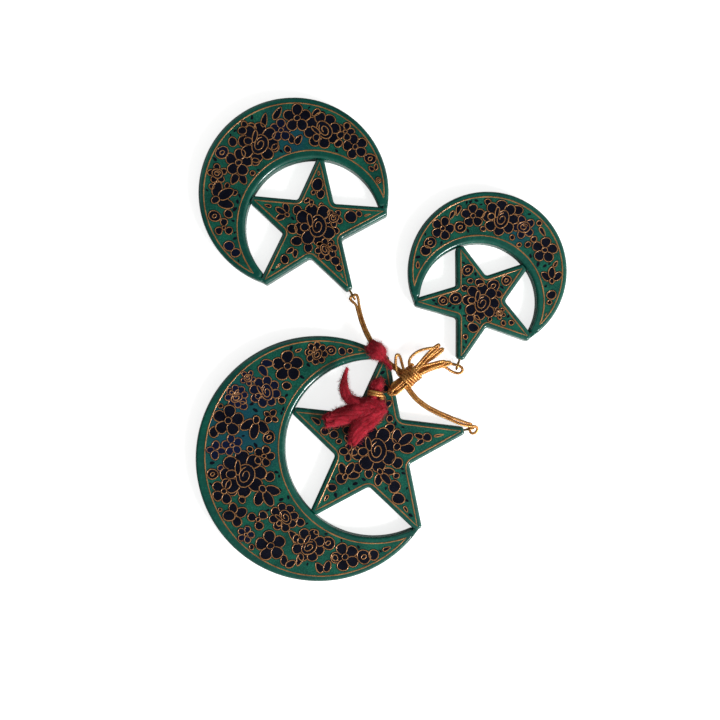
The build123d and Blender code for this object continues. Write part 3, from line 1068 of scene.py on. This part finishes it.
whip_points = helix(whip_turns, whip_pitch, whip_radius * slack, unevenness)
whipping, whip_path = make_cord("gold_whipping", placed(whip_points, hank_place), "hank_whipping")


# The loose bight: one loop of the same gold cord that has slipped out beside the
# whipping and stands off the hank; both its ends are still held in the whipping.
bight_points = [
    (2.2, 3.4, 2.6), (3.4, 5.2, 2.4), (7.0, 5.6, 2.2), (11.2, 4.4, 2.6), (15.0, 1.6, 2.6),
]
bight, _ = make_cord("gold_loose_bight", placed(bight_points, hank_place), "loose_bight")


# The red wool: soft loosely spun yarn wrapped on the medium cord, knotted on the star
# and left in three frayed tails; fine fibres stand off it all over.
strand_spread = 0.27
strand_girth = 0.235


def ease(tree, value, low, high, first, last):
    return add_node(tree, "ShaderNodeMapRange", {
        "Value": value, "From Min": low, "From Max": high, "To Min": first, "To Max": last,
    }, interpolation_type="SMOOTHSTEP").outputs[0]


def wool_strand(tree, even, offset, thick, profile, end):
    moved = add_node(tree, "GeometryNodeSetPosition", {
        "Geometry": even.outputs["Curve"], "Offset": offset,
    })
    marked = add_node(tree, "GeometryNodeCaptureAttribute", domain="POINT")
    marked.capture_items.new("FLOAT", "girth")
    feed(tree, marked, {"Geometry": moved.outputs["Geometry"], "girth": thick})
    short = add_node(
        tree, "GeometryNodeTrimCurve", {"Curve": marked.outputs["Geometry"], "End": end}, mode="FACTOR"
    )
    return add_node(tree, "GeometryNodeCurveToMesh", {
        "Curve": short.outputs["Curve"], "Profile Curve": profile.outputs["Curve"],
        "Scale": marked.outputs["girth"], "Fill Caps": True,
    })


def wool_fibres(tree, given, strands):
    scatter = add_node(tree, "GeometryNodeDistributePointsOnFaces", {
        "Mesh": strands.outputs["Geometry"], "Density": given["Fibre density"], "Seed": given["Seed"],
    })
    fibre = add_node(tree, "GeometryNodeCurveQuadraticBezier", {
        "Resolution": 3, "Start": (0, 0, -0.1), "Middle": (0.1, 0.0, 0.5), "End": (0.8, 0.1, 0.6),
    })
    hair = add_node(tree, "GeometryNodeCurvePrimitiveCircle", {"Resolution": 3, "Radius": 0.026})
    fibre_mesh = add_node(tree, "GeometryNodeCurveToMesh", {
        "Curve": fibre.outputs["Curve"], "Profile Curve": hair.outputs["Curve"], "Fill Caps": True,
    })
    spin = add_node(tree, "FunctionNodeRandomValue", {
        "Min": (-0.9, -0.9, -math.pi), "Max": (0.9, 0.9, math.pi), "Seed": given["Seed"],
    }, data_type="FLOAT_VECTOR")
    turned = add_node(tree, "FunctionNodeRotateRotation", {
        "Rotation": scatter.outputs["Rotation"], "Rotate By": spin.outputs["Value"],
    }, rotation_space="LOCAL")
    size = add_node(
        tree, "FunctionNodeRandomValue", {2: 0.4, 3: 1.2, "Seed": given["Seed"]}, data_type="FLOAT"
    )
    return add_node(tree, "GeometryNodeInstanceOnPoints", {
        "Points": scatter.outputs["Points"], "Instance": fibre_mesh.outputs["Mesh"],
        "Rotation": turned.outputs["Rotation"],
        "Scale": math_node(tree, "MULTIPLY", size.outputs[1], given["Fibre length"]),
    })


def wool_yarn():
    shares = ("Thickness", "Start share", "Tip share", "Neck from", "Neck to", "Fan", "Flatness",
              "Twist pitch", "Step", "Fibre length", "Fibre density")
    tree, given, handed = new_group(
        "wool_yarn", "GeometryNodeTree",
        {"Geometry": "Geometry", **dict.fromkeys(shares, "Float"), "Seed": "Int", "Wool": "Material"},
        {"Geometry": "Geometry"},
    )
    even = add_node(tree, "GeometryNodeResampleCurve", {
        "Length": given["Step"], "Curve": given["Geometry"],
    }, mode="LENGTH")
    along = add_node(tree, "GeometryNodeSplineParameter").outputs
    grow = ease(tree, along["Factor"], 0.0, 0.3, given["Start share"], 1.0)
    shrink = ease(
        tree, along["Factor"], given["Neck from"], given["Neck to"], 1.0, given["Tip share"]
    )
    girth = math_node(tree, "MULTIPLY", grow, shrink)
    normal, across = curve_sides(tree)
    turns = math_node(tree, "DIVIDE", along["Length"], given["Twist pitch"])
    open_out = math_node(tree, "MULTIPLY_ADD", along["Factor"], given["Fan"], 1.0)
    spread = math_node(tree, "MULTIPLY", given["Thickness"], strand_spread)
    spread = math_node(tree, "MULTIPLY", math_node(tree, "MULTIPLY", spread, girth), open_out)
    thick = math_node(tree, "MULTIPLY", given["Thickness"], strand_girth)
    thick = math_node(tree, "MULTIPLY", thick, girth)
    flat = add_node(tree, "ShaderNodeCombineXYZ", {"X": 1.0, "Y": 1.0, "Z": given["Flatness"]})
    profile = add_node(tree, "GeometryNodeCurvePrimitiveCircle", {"Resolution": 8, "Radius": 1.0})
    strands = add_node(tree, "GeometryNodeJoinGeometry")
    ends = (1.0, 0.9, 0.97, 0.82, 0.94, 0.86, 0.99, 0.88, 0.78)
    for strand, end in enumerate(ends):
        phase = 2 * math.pi * strand / len(ends)
        turn = math_node(tree, "MULTIPLY_ADD", turns, 2 * math.pi, phase)
        wave = add_node(
            tree, "ShaderNodeTexNoise", {"Scale": 170.0, "W": 3.7 * strand}, noise_dimensions="4D"
        )
        wander = math_node(tree, "MULTIPLY_ADD", wave.outputs["Fac"], 1.5, 0.05)
        loose = math_node(tree, "MULTIPLY", wander, spread)
        pressed = add_node(tree, "ShaderNodeVectorMath", {
            0: round_the_curve(tree, turn, loose, normal, across), 1: flat.outputs[0],
        }, operation="MULTIPLY")
        body = wool_strand(tree, even, pressed.outputs[0], thick, profile, end)
        feed(tree, strands, {"Geometry": body.outputs["Mesh"]})
    planted = wool_fibres(tree, given, strands)
    both = add_node(tree, "GeometryNodeJoinGeometry", {"Geometry": strands.outputs["Geometry"]})
    feed(tree, both, {"Geometry": planted.outputs["Instances"]})
    finish_mesh(tree, both.outputs["Geometry"], given["Wool"], handed)
    return tree


wool_light = (0.60, 0.027, 0.052)
wool_deep = (0.34, 0.010, 0.021)
red_wool = painted("red_wool", wool_light, wool_deep, (200.0, 900.0, 0.35), (0.2, 0.6), {
    "Roughness": 0.95, "Specular IOR Level": 0.15, "Sheen Weight": 0.35, "Sheen Roughness": 0.5,
    "Sheen Tint": (1.0, 0.45, 0.5, 1),
})
wool_tree = wool_yarn()
wool_runs = [
    ("wool_sleeve", 7.8, (0.7, 0.2), (0.3, 0.68), 0.0, 0.7, [
        (-4.6, -2.6, 8.4), (-2.2, -4.6, 8.9), (0.2, -7.2, 8.9), (2.2, -9.8, 8.7), (4.4, -12.6, 8.4),
    ]),
    ("wool_knot", 5.0, (0.5, 1.0), (0.7, 1.0), 0.0, 0.9, [
        (-0.2, -16.6, 9.2), (-1.5, -18.2, 9.3), (-2.4, -20.2, 9.4), (-2.6, -24.2, 9.4),
    ]),
    ("wool_tail_up", 4.8, (0.9, 0.3), (0.4, 1.0), 0.3, 0.8, [
        (-3.2, -26.4, 9.3), (-8.6, -26.4, 9.2), (-13.4, -24.2, 9.4), (-15.8, -18.4, 9.7),
        (-13.6, -11.6, 9.9),
    ]),
    ("wool_tail_left", 8.0, (0.75, 0.6), (0.4, 1.0), 0.7, 0.5, [
        (0.6, -26.4, 9.5), (-8.0, -28.8, 9.5), (-16.0, -31.2, 9.3), (-23.0, -33.8, 9.0),
    ]),
    ("wool_tail_down", 8.0, (0.75, 0.45), (0.45, 1.0), 0.6, 0.5, [
        (0.8, -27.4, 9.6), (-4.6, -31.4, 9.6), (-9.4, -36.2, 9.5), (-12.0, -42.8, 9.2),
    ]),
]
for seed, (node, thickness, shares, neck, fan, flatness, points) in enumerate(wool_runs, 1):
    piece = grown(lay_spline("red_" + node + "_line", points), wool_tree, "red_" + node, {
        "Thickness": thickness * mm, "Start share": shares[0], "Tip share": shares[1],
        "Neck from": neck[0], "Neck to": neck[1], "Fan": fan, "Flatness": flatness,
        "Twist pitch": 60.0 * mm, "Step": 0.6 * mm, "Fibre length": 1.5 * mm,
        "Fibre density": 3.2e6, "Seed": seed, "Wool": red_wool,
    })
    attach(piece, "tie")
    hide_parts(node)


# The wool's binding: two turns of the same gold cord, tied by hand round the wool just
# below its knot to keep the three tails together.
binding_place = Matrix.Translation((-2.15, -22.6, 9.4)) @ Matrix.Rotation(math.radians(-104), 4, "Z")
binding_turns = 2
wool_radius = 2.3
binding_slack = 1.08
binding_reach = (wool_radius + cord_width / 2 + 0.1) * binding_slack
binding_points = helix(binding_turns, strand_pitch, binding_reach, 0.0)
binding, binding_path = make_cord(
    "gold_wool_binding", placed(binding_points, binding_place), "wool_binding"
)
